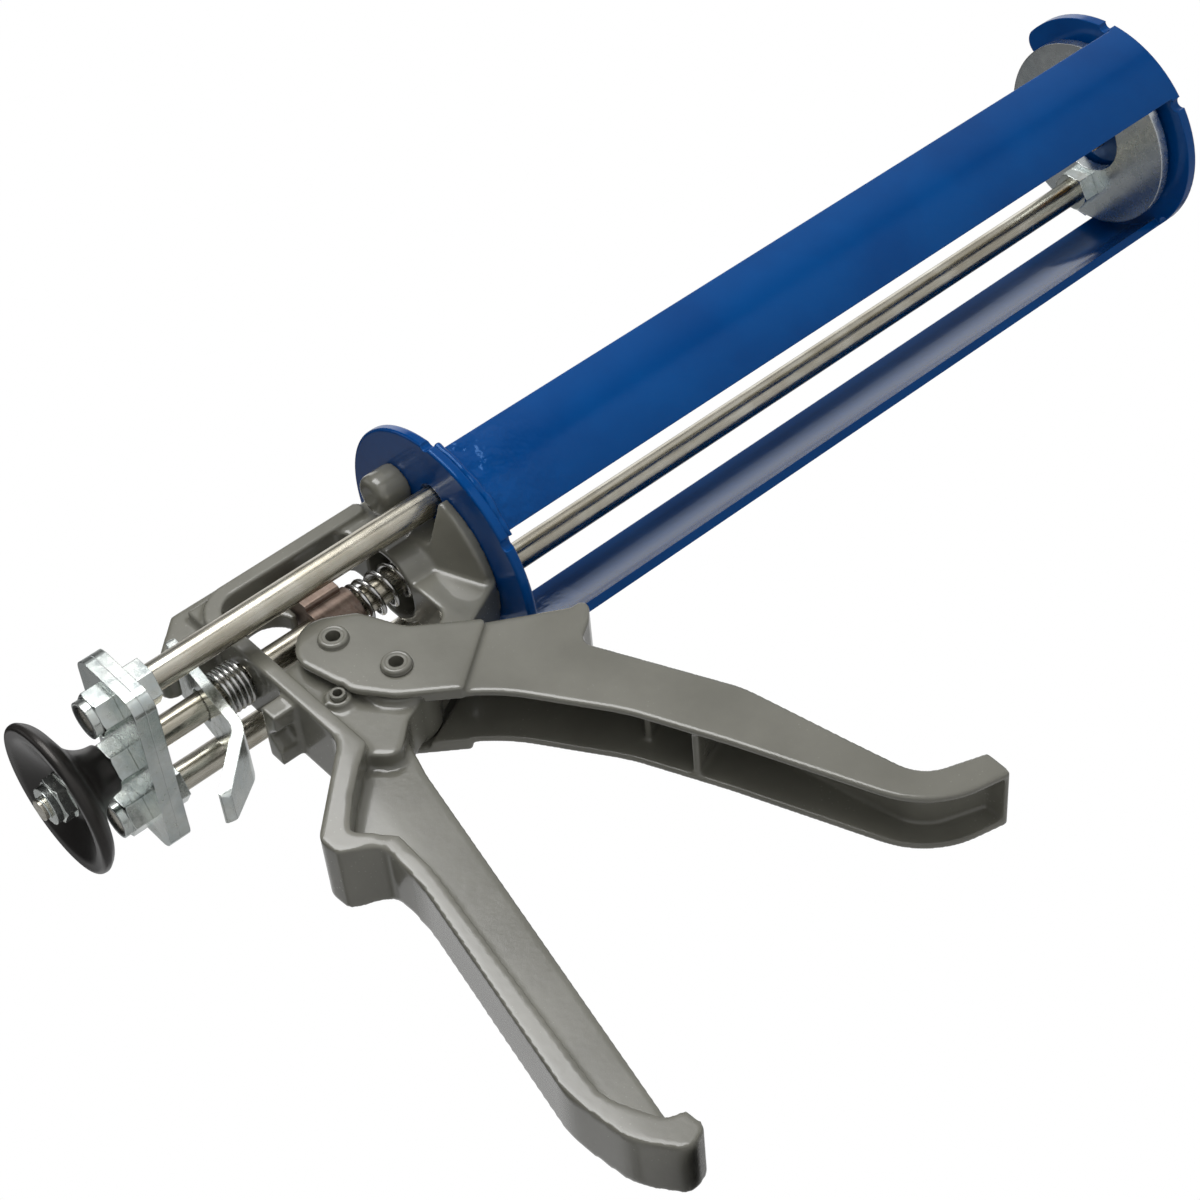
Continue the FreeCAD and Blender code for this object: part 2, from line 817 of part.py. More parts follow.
def rivet(name, back_by, drop, gap):
    """Solid shank, domed head on the left, flared hollow end on the right."""
    half = f"{CHEEK_HALF} + {gap}"

    def at_y(y):
        return f"-{back_by}", y, f"-{drop}"

    shank = cylinder(name + "_shank", "rivet_radius", f"2 * ({half})", at_y(f"-({half})"), "y")
    head = cone(
        name + "_head",
        "rivet_head",
        "rivet_head * 0.55",
        "rivet_dome",
        at_y(half),
        "y",
    )
    flare = cone(
        name + "_flare",
        "rivet_flare * 0.75",
        "rivet_flare",
        "rivet_dome / 2",
        at_y(f"-({half}) - rivet_dome / 2"),
        "y",
    )
    hollow = cylinder(
        name + "_hollow",
        "rivet_hollow",
        "rivet_dome * 2",
        at_y(f"-({half}) - rivet_dome / 2 - 1"),
        "y",
    )
    return cut(name, fuse(name + "_blank", shank, head, flare), hollow)


def stop_pin():
    half = "(body_half + boss_step + stop_pin_proud)"
    at = (f"-({STOP_PIN[0]})", f"-{half}", f"-({STOP_PIN[1]})")
    outer = cylinder("stop_pin_outer", "stop_pin_radius", f"2 * {half}", at, "y")
    inner = cylinder("stop_pin_bore", "stop_pin_radius - stop_pin_wall", f"2 * {half}", at, "y")
    return cut("stop_pin", outer, inner)


# ---- Drive block and its spring ----


def drive_block():
    end_view = [
        (-S.block_half, S.block_top, 2),
        (-S.block_half, S.block_bottom, S.block_edge),
    ]
    end_view += [(-y, z, radius) for y, z, radius in reversed(end_view)]
    block = slab("block_bar", "YZ_Plane", end_view, "block_rear - block_front")
    place(block, ("-(block_rear + block_front) / 2", 0, 0))
    toe_rear = "drive_back - rivet_radius - seat_gap"
    toe = box(
        "block_toe",
        (f"{toe_rear} - block_front", "2 * toe_half", "toe_drop + block_bottom + 1"),
        (f"-({toe_rear})", "-toe_half", "-toe_drop"),
    )
    reach = "(block_rear - block_front + sleeve_proud)"
    sleeve = cylinder("block_sleeve", "rod_radius + sleeve_wall", reach, ("-block_rear", 0, 0))
    bore_at = ("-block_rear - 1", 0, 0)
    bore = cylinder("block_bore", "rod_radius + run_gap", f"{reach} + 2", bore_at)
    return cut("drive_block", fuse("block_blank", block, toe, sleeve), bore)


def drive_spring():
    length = "block_front - sleeve_proud - window_front + pocket_depth - 2 * seat_gap"
    at = ("-block_front + sleeve_proud + seat_gap + drive_wire", 0, 0)
    return coil("drive_spring", "drive_wire", DRIVE_COIL, "drive_pitch", length, at)


# ---- Release catch: a bent plate hung in the beak, and its spring ----


def release_plate():
    half = S.catch_thick / 2
    straight = S.catch_top + S.catch_bend
    lean = math.radians(S.catch_tab_angle)
    reach = Vector(-math.sin(lean), -math.cos(lean), 0) * S.catch_tab
    side_view = [
        (-half, 0, 1),
        (half, 0, 1),
        (half, -straight, 10),
        (half + reach.x, -straight + reach.y, 1),
        (half + reach.x - S.catch_thick, -straight + reach.y + half, 1),
        (-half, -straight + half, 7),
    ]
    bent = slab("catch_bent", "XZ_Plane", side_view, "2 * catch_half")
    foot = -straight + reach.y - 1
    end_view = [
        (-S.catch_half, 1, 2),
        (-S.catch_half, -straight - 2, 4),
        (-S.catch_tip_half, foot, 4),
    ]
    end_view += [(-y, z, radius) for y, z, radius in reversed(end_view)]
    outline = slab("catch_outline", "YZ_Plane", end_view, "4 * catch_tab")
    bore = cylinder(
        "catch_bore",
        "rod_radius + catch_gap",
        "4 * catch_thick",
        ("-2 * catch_thick", 0, "-catch_top"),
    )
    plate = cut("release_plate", common("catch_blank", bent, outline), bore)
    doc.recompute()
    plate.Placement = Placement(
        Vector(-S.catch_back, 0, S.catch_top), Rotation(Vector(0, 1, 0), S.catch_tilt)
    )
    bind(plate, Placement__Base__x="-catch_back", Placement__Base__z="catch_top")
    return plate


def release_spring():
    lean = "(catch_back + catch_top * tan(catch_tilt) - catch_thick / 2 / cos(catch_tilt))"
    slack = f"({RELEASE_COIL} + release_wire) * tan(catch_tilt)"
    length = f"{lean} - {slack} - window_rear - wall_thick - 2 * seat_gap"
    at = (f"-window_rear - wall_thick - seat_gap - ({length}) + release_wire", 0, 0)
    return coil("release_spring", "release_wire", RELEASE_COIL, "release_pitch", length, at)


# ---- Push rods, yoke, knob and pusher ring: everything that slides along the barrel ----

RING_REAR = "bay_length - rod_front_gap - ring_thick"
YOKE_REAR = "(yoke_front + 2 * yoke_thick)"
KNOB_FRONT = f"({YOKE_REAR} + nut_length)"
KNOB_NUT = f"({KNOB_FRONT} + knob_length - knob_dish + washer_thick)"


def outer_rod(side, sign):
    rear = f"{YOKE_REAR} + nut_length + nut_collar - 0.6"
    length = f"{rear} + {RING_REAR} + ring_thick - 0.4"
    return cylinder(
        f"outer_rod_{side}", "rod_radius", length, (f"-({rear})", f"{sign}rod_offset", 0)
    )


def centre_rod():
    """Round bar, turned down at the rear for the knob and at the front for the tip."""
    front = f"{RING_REAR} + ring_thick - tip_length"
    bar = cylinder(
        "centre_bar", "rod_radius", f"{YOKE_REAR} + {front}", (f"-{YOKE_REAR}", 0, 0)
    )
    stud = f"{KNOB_NUT} + knob_nut_length + nut_collar + stud_proud"
    thread = cylinder(
        "knob_stud", "stud_radius", f"{stud} - {YOKE_REAR} + 1", (f"-({stud})", 0, 0)
    )
    nose = cylinder("tip_stud", "rod_radius / 2", "tip_length / 2 + 1", (f"{front} - 1", 0, 0))
    return fuse("centre_rod", bar, thread, nose)


def yoke_plate(name, x):
    corners = [
        (-S.yoke_half_width, -S.yoke_half_height, S.yoke_corner),
        (S.yoke_half_width, -S.yoke_half_height, S.yoke_corner),
        (S.yoke_half_width, S.yoke_half_height, S.yoke_corner),
        (-S.yoke_half_width, S.yoke_half_height, S.yoke_corner),
    ]
    plate = slab(name + "_blank", "YZ_Plane", corners, "yoke_thick")
    place(plate, (f"{x} + yoke_thick / 2", 0, 0))
    bores = rod_tools(
        name + "_bore",
        f"{x} - 1",
        "yoke_thick + 2",
        "rod_radius + run_gap",
        "rod_radius + run_gap",
    )
    return cut(name, plate, *bores)


def nut(name, x, y, length, bore, collar=None, collar_bore=None):
    """Hexagon nut with chamfered corners; a collar makes it a lock nut, with room for an insert."""
    bar = prism(name + "_hex", NUT_FLATS, length, (x, y, 0))
    dome = cone(
        name + "_dome",
        f"{NUT_FLATS} / sqrt(3) - 0.7",
        f"{NUT_FLATS} / sqrt(3) - 0.7 + 2 * ({length})",
        length,
        (x, y, 0),
    )
    blank = common(name + "_blank", bar, dome)
    if collar:
        collar_at = (f"{x} - {collar}", y, 0)
        ring = cylinder(name + "_collar", f"{NUT_FLATS} / 2 - 0.4", collar, collar_at)
        blank = fuse(name + "_body", blank, ring)
    hole_at = (f"{x} - {collar or 0} - 1", y, 0)
    tools = [cylinder(name + "_hole", bore, f"{length} + {collar or 0} + 2", hole_at)]
    if collar_bore:
        tools.append(cylinder(name + "_seat", collar_bore, f"{collar} + 1", hole_at))
    return cut(name, blank, *tools)


def pair(name, x, length, bore, collar=None, collar_bore=None):
    nuts = [
        nut(f"{name}_{side}", x, f"{sign}rod_offset", length, bore, collar, collar_bore)
        for side, sign in (("left", ""), ("right", "-"))
    ]
    return group(name, *nuts)


def lock_inserts():
    rings = []
    for side, sign in (("left", ""), ("right", "-")):
        x = f"-{YOKE_REAR} - nut_length - nut_collar"
        y = f"{sign}rod_offset"
        rim = cylinder(f"insert_rim_{side}", "rod_radius + insert_wall", "nut_collar", (x, y, 0))
        hole_at = (f"{x} - 1", y, 0)
        hole = cylinder(
            f"insert_hole_{side}", "rod_radius + run_gap", "nut_collar + 2", hole_at
        )
        rings.append(cut(f"insert_{side}", rim, hole))
    return group("lock_inserts", *rings)


def pull_knob():
    length = S.knob_length
    inner = S.stud_radius + S.run_gap
    dish_floor = length - S.knob_dish
    corners = [
        (0, inner, 0),
        (0, S.knob_neck, 0.8),
        (length * 0.42, S.knob_neck + 0.8, 9),
        (length * 0.72, S.knob_radius * 0.92, 6),
        (length - S.knob_lip - 0.5, S.knob_radius, 1.5),
        (length, S.knob_radius - 0.3, 1.2),
        (length - 0.4, S.knob_radius * 0.82, 5),
        (dish_floor, S.washer_radius + 1.5, 5),
        (dish_floor, inner, 0),
    ]
    knob = turned("pull_knob", [(-x, r, radius) for x, r, radius in corners], (0, 0, 0))
    return bind(knob, Placement__Base__x=f"-{KNOB_FRONT}")


def knob_fixings():
    """The washer and lock nut that hold the knob, in its dished rear face."""
    bore = "stud_radius + run_gap"
    washer = ring_solid("knob_washer", "washer_radius", bore, "washer_thick", f"-{KNOB_NUT}")
    lock = nut(
        "knob_lock_nut",
        f"-{KNOB_NUT} - knob_nut_length",
        "0",
        "knob_nut_length",
        bore,
        "nut_collar",
    )
    return [washer, lock]


def ring_solid(name, radius, bore, length, x, y="0"):
    outer = cylinder(name + "_outer", radius, length, (x, y, 0))
    inner = cylinder(name + "_bore", bore, f"{length} + 2", (f"{x} - 1", y, 0))
    return cut(name, outer, inner)


def pusher_ring():
    disc = cylinder("ring_disc", RING_RADIUS, "ring_thick - ring_bevel", (RING_REAR, 0, 0))
    bevel = cone(
        "ring_bevel_edge",
        RING_RADIUS,
        f"{RING_RADIUS} - ring_bevel",
        "ring_bevel",
        (f"{RING_REAR} + ring_thick - ring_bevel", 0, 0),
    )
    bores = rod_tools(
        "ring_bore_tool",
        f"{RING_REAR} - 1",
        "ring_thick + 2",
        "rod_radius + run_gap",
        "ring_bore",
    )
    return cut("pusher_ring", fuse("ring_blank", disc, bevel), *bores)


def centre_tip():
    front = f"{RING_REAR} + ring_thick - tip_length"
    stem = cylinder(
        "tip_stem",
        "rod_radius",
        "tip_length - tip_band_length - tip_head_length",
        (f"{front} + tip_band_length", 0, 0),
    )
    head = cylinder(
        "tip_head",
        "rod_radius + tip_head_step",
        "tip_head_length",
        (f"{front} + tip_length - tip_head_length", 0, 0),
    )
    hole = cylinder(
        "tip_hole", "rod_radius / 2 + run_gap", "tip_length / 2 + 0.3", (f"{front}", 0, 0)
    )
    return cut("centre_tip", fuse("tip_blank", stem, head), hole)


# ---- Assembly ----

PARTS = [
    cradle_frame(),
    rear_plate(),
    handle_casting(),
    frame_bolts(),
    trigger(),
    rivet("pivot_rivet", "pivot_back", "pivot_drop", "seat_gap"),
    rivet("drive_rivet", "drive_back", "drive_drop", "0"),
    stop_pin(),
    drive_block(),
    drive_spring(),
    release_plate(),
    release_spring(),
    centre_rod(),
    outer_rod("left", ""),
    outer_rod("right", "-"),
    yoke_plate("yoke_front_plate", "-yoke_front - yoke_thick"),
    yoke_plate("yoke_rear_plate", "-yoke_front - 2 * yoke_thick"),
    pair("spacer_nuts", "-yoke_front", "nut_length", "rod_radius + run_gap"),
    pair(
        "yoke_lock_nuts",
        f"-{YOKE_REAR} - nut_length",
        "nut_length",
        "rod_radius + run_gap",
        "nut_collar",
        "rod_radius + insert_wall",
    ),
    lock_inserts(),
    nut("jam_nut", f"-{KNOB_FRONT}", "0", "nut_length", "stud_radius + seat_gap"),
    pull_knob(),
    *knob_fixings(),
    pusher_ring(),
    pair("ring_nuts", f"{RING_REAR} - nut_length", "nut_length", "rod_radius + run_gap"),
    ring_solid(
        "tip_band",
        "rod_radius + tip_band_step",
        "rod_radius / 2 + run_gap",
        "tip_band_length",
        f"{RING_REAR} + ring_thick - tip_length",
    ),
    centre_tip(),
]
doc.recompute()

failed = [obj.Label for obj in doc.Objects if {"Invalid", "Error"} & set(obj.State)]
if failed:
    raise ValueError(f"failed objects: {failed}")
for obj in PARTS:
    shape = obj.Shape
    if shape.isNull() or not shape.isValid() or not shape.Solids:
        raise ValueError(f"{obj.Label} has no valid solid")
    print(f"{obj.Label:20s} solids {len(shape.Solids)} volume {shape.Volume:10.1f}")
    shape.exportStep(f"parts/{obj.Label}.step")
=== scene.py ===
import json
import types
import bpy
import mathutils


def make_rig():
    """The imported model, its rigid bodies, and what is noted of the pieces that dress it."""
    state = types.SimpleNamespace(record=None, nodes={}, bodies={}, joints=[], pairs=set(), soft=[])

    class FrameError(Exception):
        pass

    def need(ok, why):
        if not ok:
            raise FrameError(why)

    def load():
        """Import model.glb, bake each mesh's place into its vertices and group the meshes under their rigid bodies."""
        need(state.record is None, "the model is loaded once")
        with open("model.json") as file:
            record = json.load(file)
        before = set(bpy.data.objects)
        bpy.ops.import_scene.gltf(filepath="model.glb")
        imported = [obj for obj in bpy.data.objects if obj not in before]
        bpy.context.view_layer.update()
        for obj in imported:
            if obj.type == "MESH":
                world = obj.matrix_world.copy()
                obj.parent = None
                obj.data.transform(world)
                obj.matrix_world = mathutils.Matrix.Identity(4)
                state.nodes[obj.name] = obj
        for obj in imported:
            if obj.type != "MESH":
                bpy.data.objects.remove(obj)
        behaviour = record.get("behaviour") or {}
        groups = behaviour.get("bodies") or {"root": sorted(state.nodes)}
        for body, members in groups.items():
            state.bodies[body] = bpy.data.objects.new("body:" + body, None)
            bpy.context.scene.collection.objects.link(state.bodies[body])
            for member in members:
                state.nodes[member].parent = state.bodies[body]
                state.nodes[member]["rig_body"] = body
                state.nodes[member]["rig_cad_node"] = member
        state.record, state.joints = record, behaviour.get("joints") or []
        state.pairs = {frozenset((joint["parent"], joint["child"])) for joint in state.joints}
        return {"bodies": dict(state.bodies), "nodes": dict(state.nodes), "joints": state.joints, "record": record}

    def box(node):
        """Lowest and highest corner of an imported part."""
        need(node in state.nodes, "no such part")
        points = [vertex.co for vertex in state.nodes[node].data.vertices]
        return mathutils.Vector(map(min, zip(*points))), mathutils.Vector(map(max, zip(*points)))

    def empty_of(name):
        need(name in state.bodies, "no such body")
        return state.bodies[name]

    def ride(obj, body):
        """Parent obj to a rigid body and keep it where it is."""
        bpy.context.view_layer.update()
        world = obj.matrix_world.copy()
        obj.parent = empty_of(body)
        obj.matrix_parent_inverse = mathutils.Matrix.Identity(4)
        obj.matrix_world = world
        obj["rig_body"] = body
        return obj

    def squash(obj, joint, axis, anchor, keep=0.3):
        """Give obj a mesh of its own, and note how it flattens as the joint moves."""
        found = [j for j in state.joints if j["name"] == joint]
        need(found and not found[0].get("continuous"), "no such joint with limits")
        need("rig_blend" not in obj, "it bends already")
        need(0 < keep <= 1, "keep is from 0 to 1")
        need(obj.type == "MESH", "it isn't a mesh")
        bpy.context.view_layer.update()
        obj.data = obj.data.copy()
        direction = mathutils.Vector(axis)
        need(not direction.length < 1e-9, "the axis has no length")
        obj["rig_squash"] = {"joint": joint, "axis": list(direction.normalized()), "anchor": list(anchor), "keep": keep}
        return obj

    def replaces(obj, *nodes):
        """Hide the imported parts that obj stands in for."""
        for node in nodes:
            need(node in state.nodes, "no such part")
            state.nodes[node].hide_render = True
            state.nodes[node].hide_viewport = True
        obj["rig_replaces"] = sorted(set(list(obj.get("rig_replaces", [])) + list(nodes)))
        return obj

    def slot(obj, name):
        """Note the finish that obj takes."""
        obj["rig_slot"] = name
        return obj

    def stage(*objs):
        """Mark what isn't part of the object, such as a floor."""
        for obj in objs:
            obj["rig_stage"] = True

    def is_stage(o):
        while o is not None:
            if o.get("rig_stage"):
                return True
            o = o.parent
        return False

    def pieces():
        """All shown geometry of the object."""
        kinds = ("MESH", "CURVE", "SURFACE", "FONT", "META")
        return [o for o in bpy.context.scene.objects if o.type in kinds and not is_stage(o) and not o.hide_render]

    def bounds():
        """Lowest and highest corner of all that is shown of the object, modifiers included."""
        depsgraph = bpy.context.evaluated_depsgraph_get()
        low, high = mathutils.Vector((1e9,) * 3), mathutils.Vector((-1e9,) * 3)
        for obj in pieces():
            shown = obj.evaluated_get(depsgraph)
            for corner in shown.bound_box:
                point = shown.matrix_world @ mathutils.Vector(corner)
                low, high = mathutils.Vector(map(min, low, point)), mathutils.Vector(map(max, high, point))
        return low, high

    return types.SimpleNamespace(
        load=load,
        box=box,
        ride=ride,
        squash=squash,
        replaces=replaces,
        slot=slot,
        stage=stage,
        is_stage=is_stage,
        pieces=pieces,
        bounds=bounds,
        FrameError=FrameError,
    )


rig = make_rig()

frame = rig.load()

import json
import math

import bpy
from mathutils import Euler, Vector

cadLow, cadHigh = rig.bounds()
nodes = frame["nodes"]
joints = {joint["name"]: joint for joint in frame["joints"]}
print("frame loaded:", len(nodes), "CAD nodes")


# small helpers for picking and finishing

mergeGap = 1e-6


def deselectAll():
    if bpy.context.mode != "OBJECT":
        bpy.ops.object.mode_set(mode="OBJECT")
    bpy.ops.object.select_all(action="DESELECT")


def pick(piece, *others):
    deselectAll()
    for one in (piece, *others):
        one.select_set(True)
    bpy.context.view_layer.objects.active = piece


def applyPlace(piece):
    pick(piece)
    bpy.ops.object.transform_apply(location=True, rotation=True, scale=True)


def useModifier(piece, kind, **values):
    pick(piece)
    modifier = piece.modifiers.new(kind.lower(), kind)
    for key, value in values.items():
        setattr(modifier, key, value)
    bpy.ops.object.modifier_apply(modifier=modifier.name)


def mendMesh(piece, closeEnds=False):
    pick(piece)
    bpy.ops.object.mode_set(mode="EDIT")
    bpy.ops.mesh.select_all(action="SELECT")
    bpy.ops.mesh.remove_doubles(threshold=mergeGap)
    if closeEnds:
        bpy.ops.mesh.select_all(action="SELECT")
        bpy.ops.mesh.fill_holes(sides=0)
        bpy.ops.mesh.select_all(action="SELECT")
    bpy.ops.mesh.normals_make_consistent(inside=False)
    bpy.ops.object.mode_set(mode="OBJECT")


def shadeSmooth(piece):
    pick(piece)
    bpy.ops.object.shade_smooth()


def finishPiece(piece, name, body, slotName, material, standsFor=()):
    piece.name = name
    piece.data.name = name
    applyPlace(piece)
    piece.data.materials.clear()
    piece.data.materials.append(material)
    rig.ride(piece, body)
    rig.slot(piece, slotName)
    if standsFor:
        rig.replaces(piece, *standsFor)
    return piece


# shader groups shared by the finishes

edgeLook = {"samples": 6, "span": (0.02, 0.2)}
peelLook = {
    "waveDetail": 2.0, "cloudScale": 38.0, "cloudDetail": 4.0, "cloudSpan": (0.35, 0.65),
    "pitScale": 620.0, "pitSpan": (0.0, 0.16),
}
grainLook = {
    "streakDetail": 5.0, "streakRoughness": 0.65, "streakSpan": (0.35, 0.68),
    "cloudDetail": 6.0, "cloudDistortion": 0.6, "cloudSpan": (0.38, 0.64),
}
rippleLook = {"scale": 110.0, "detail": 3.0, "railStart": 0.0025}


def newGroup(name, inputs, outputs):
    group = bpy.data.node_groups.new(name, "ShaderNodeTree")
    for label, kind, value in inputs:
        socket = group.interface.new_socket(name=label, in_out="INPUT", socket_type=kind)
        socket.default_value = value
    for label, kind in outputs:
        group.interface.new_socket(name=label, in_out="OUTPUT", socket_type=kind)
    return group, group.nodes.new("NodeGroupInput"), group.nodes.new("NodeGroupOutput")


def mathNode(tree, operation, first, second=None, clamp=False):
    node = tree.nodes.new("ShaderNodeMath")
    node.operation = operation
    node.use_clamp = clamp
    for socket, value in zip(node.inputs, (first, second)):
        if hasattr(value, "is_linked"):
            tree.links.new(value, socket)
        elif value is not None:
            socket.default_value = value
    return node.outputs[0]


def rangeNode(tree, value, given, made=(0.0, 1.0)):
    node = tree.nodes.new("ShaderNodeMapRange")
    tree.links.new(value, node.inputs["Value"])
    for label, number in zip(("From Min", "From Max", "To Min", "To Max"), (*given, *made)):
        node.inputs[label].default_value = number
    return node.outputs["Result"]


def noiseNode(tree, place, **values):
    node = tree.nodes.new("ShaderNodeTexNoise")
    tree.links.new(place, node.inputs["Vector"])
    for key, value in values.items():
        node.inputs[key].default_value = value
    return node


def mixColours(tree, share, first, second):
    node = tree.nodes.new("ShaderNodeMix")
    node.data_type = "RGBA"
    for socket, value in ((node.inputs[0], share), (node.inputs[6], first), (node.inputs[7], second)):
        if hasattr(value, "is_linked"):
            tree.links.new(value, socket)
        elif isinstance(value, (int, float)):
            socket.default_value = value
        else:
            socket.default_value = (*value, 1)
    return node.outputs[2]


def softEdges(group, given, made, height, depth):
    # rounds the edges in the shading, lays a bump over them and says where they are
    soft = group.nodes.new("ShaderNodeBevel")
    soft.samples = edgeLook["samples"]
    group.links.new(given.outputs["Edge Radius"], soft.inputs["Radius"])
    bump = group.nodes.new("ShaderNodeBump")
    group.links.new(height, bump.inputs["Height"])
    group.links.new(given.outputs[depth], bump.inputs["Distance"])
    group.links.new(soft.outputs["Normal"], bump.inputs["Normal"])
    group.links.new(bump.outputs["Normal"], made.inputs["Normal"])
    surface = group.nodes.new("ShaderNodeNewGeometry")
    facing = group.nodes.new("ShaderNodeVectorMath")
    facing.operation = "DOT_PRODUCT"
    group.links.new(soft.outputs["Normal"], facing.inputs[0])
    group.links.new(surface.outputs["Normal"], facing.inputs[1])
    away = mathNode(group, "SUBTRACT", 1.0, facing.outputs["Value"])
    group.links.new(rangeNode(group, away, edgeLook["span"]), made.inputs["Edge"])


def makePeelGroup():
    # paint that levelled out badly: shallow waves over softly rounded edges
    group, given, made = newGroup(
        "paintPeel",
        [("Wave Scale", "NodeSocketFloat", 300.0), ("Wave Depth", "NodeSocketFloat", 0.00002),
         ("Edge Radius", "NodeSocketFloat", 0.0005)],
        [("Normal", "NodeSocketVector"), ("Edge", "NodeSocketFloat"), ("Cloud", "NodeSocketFloat"),
         ("Pits", "NodeSocketFloat")],
    )
    place = group.nodes.new("ShaderNodeTexCoord").outputs["Object"]
    wave = noiseNode(group, place, Detail=peelLook["waveDetail"])
    group.links.new(given.outputs["Wave Scale"], wave.inputs["Scale"])
    softEdges(group, given, made, wave.outputs["Fac"], "Wave Depth")
    cloud = noiseNode(group, place, Scale=peelLook["cloudScale"], Detail=peelLook["cloudDetail"])
    group.links.new(rangeNode(group, cloud.outputs["Fac"], peelLook["cloudSpan"]), made.inputs["Cloud"])
    pits = group.nodes.new("ShaderNodeTexVoronoi")
    pits.inputs["Scale"].default_value = peelLook["pitScale"]
    group.links.new(place, pits.inputs["Vector"])
    pitDepth = rangeNode(group, pits.outputs["Distance"], peelLook["pitSpan"], (1.0, 0.0))
    group.links.new(pitDepth, made.inputs["Pits"])
    return group


def makeGrainGroup():
    # drawn or rolled metal: streaks along one way, cloudy plating, softened edges
    group, given, made = newGroup(
        "metalGrain",
        [("Stretch", "NodeSocketVector", (60.0, 900.0, 900.0)), ("Grain Depth", "NodeSocketFloat", 0.00001),
         ("Cloud Scale", "NodeSocketFloat", 70.0), ("Edge Radius", "NodeSocketFloat", 0.0003)],
        [("Normal", "NodeSocketVector"), ("Streaks", "NodeSocketFloat"), ("Cloud", "NodeSocketFloat"),
         ("Edge", "NodeSocketFloat")],
    )
    place = group.nodes.new("ShaderNodeTexCoord").outputs["Object"]
    stretch = group.nodes.new("ShaderNodeVectorMath")
    stretch.operation = "MULTIPLY"
    group.links.new(place, stretch.inputs[0])
    group.links.new(given.outputs["Stretch"], stretch.inputs[1])
    streaks = noiseNode(group, stretch.outputs["Vector"], Scale=1.0, Detail=grainLook["streakDetail"],
                        Roughness=grainLook["streakRoughness"])
    softEdges(group, given, made, streaks.outputs["Fac"], "Grain Depth")
    group.links.new(rangeNode(group, streaks.outputs["Fac"], grainLook["streakSpan"]), made.inputs["Streaks"])
    cloud = noiseNode(group, place, Detail=grainLook["cloudDetail"], Distortion=grainLook["cloudDistortion"])
    group.links.new(given.outputs["Cloud Scale"], cloud.inputs["Scale"])
    group.links.new(rangeNode(group, cloud.outputs["Fac"], grainLook["cloudSpan"]), made.inputs["Cloud"])
    return group


def makeRippleGroup():
    # sheet pulled out of true by the weld heat, only near the rear plate
    group, given, made = newGroup(
        "weldRipple",
        [("Reach", "NodeSocketFloat", 0.045)],
        [("Height", "NodeSocketFloat")],
    )
    place = group.nodes.new("ShaderNodeTexCoord").outputs["Object"]
    split = group.nodes.new("ShaderNodeSeparateXYZ")
    group.links.new(place, split.inputs["Vector"])
    near = mathNode(group, "DIVIDE", split.outputs["X"], given.outputs["Reach"])
    near = mathNode(group, "SUBTRACT", 1.0, near, clamp=True)
    onRail = mathNode(group, "GREATER_THAN", split.outputs["X"], rippleLook["railStart"])
    near = mathNode(group, "MULTIPLY", near, onRail)
    ripple = noiseNode(group, place, Scale=rippleLook["scale"], Detail=rippleLook["detail"])
    group.links.new(mathNode(group, "MULTIPLY", near, ripple.outputs["Fac"]), made.inputs["Height"])
    return group


peelGroup = makePeelGroup()
grainGroup = makeGrainGroup()
rippleGroup = makeRippleGroup()


def newMaterial(name):
    material = bpy.data.materials.new(name)
    material.use_nodes = True
    tree = material.node_tree
    return material, tree, tree.nodes["Principled BSDF"]


def placeGroup(tree, group, **values):
    node = tree.nodes.new("ShaderNodeGroup")
    node.node_tree = group
    for key, value in values.items():
        node.inputs[key.replace("_", " ")].default_value = value
    return node


def gloss(name, look):
    # powder coat or enamel over metal
    material, tree, shader = newMaterial(name)
    skin = placeGroup(tree, peelGroup, Wave_Scale=look["waveScale"], Wave_Depth=look["waveDepth"],
                      Edge_Radius=look["edgeRadius"])
    colour = mixColours(tree, skin.outputs["Cloud"], look["deep"], look["light"])
    # painted highlight: the rounded edges get a lighter colour, as if they caught the light
    edgeHighlight = mathNode(tree, "MULTIPLY", skin.outputs["Edge"], look["edgeHighlightShare"])
    colour = mixColours(tree, edgeHighlight, colour, look["edgeHighlightColour"])
    tree.links.new(colour, shader.inputs["Base Color"])
    rough = rangeNode(tree, skin.outputs["Cloud"], (0.0, 1.0), (look["smoothest"], look["roughest"]))
    rough = mathNode(tree, "ADD", rough, mathNode(tree, "MULTIPLY", skin.outputs["Pits"], look["pitShare"]))
    tree.links.new(rough, shader.inputs["Roughness"])
    normal = skin.outputs["Normal"]
    if look.get("rippleDepth"):
        ripple = placeGroup(tree, rippleGroup, Reach=look["rippleReach"])
        bump = tree.nodes.new("ShaderNodeBump")
        bump.inputs["Distance"].default_value = look["rippleDepth"]
        tree.links.new(ripple.outputs["Height"], bump.inputs["Height"])
        tree.links.new(normal, bump.inputs["Normal"])
        normal = bump.outputs["Normal"]
    tree.links.new(normal, shader.inputs["Normal"])
    shader.inputs["Specular IOR Level"].default_value = look["specular"]
    shader.inputs["Specular Tint"].default_value = (*look["sheen"], 1)
    shader.inputs["Coat Weight"].default_value = look["coat"]
    shader.inputs["Coat Roughness"].default_value = look["coatRoughness"]
    return material


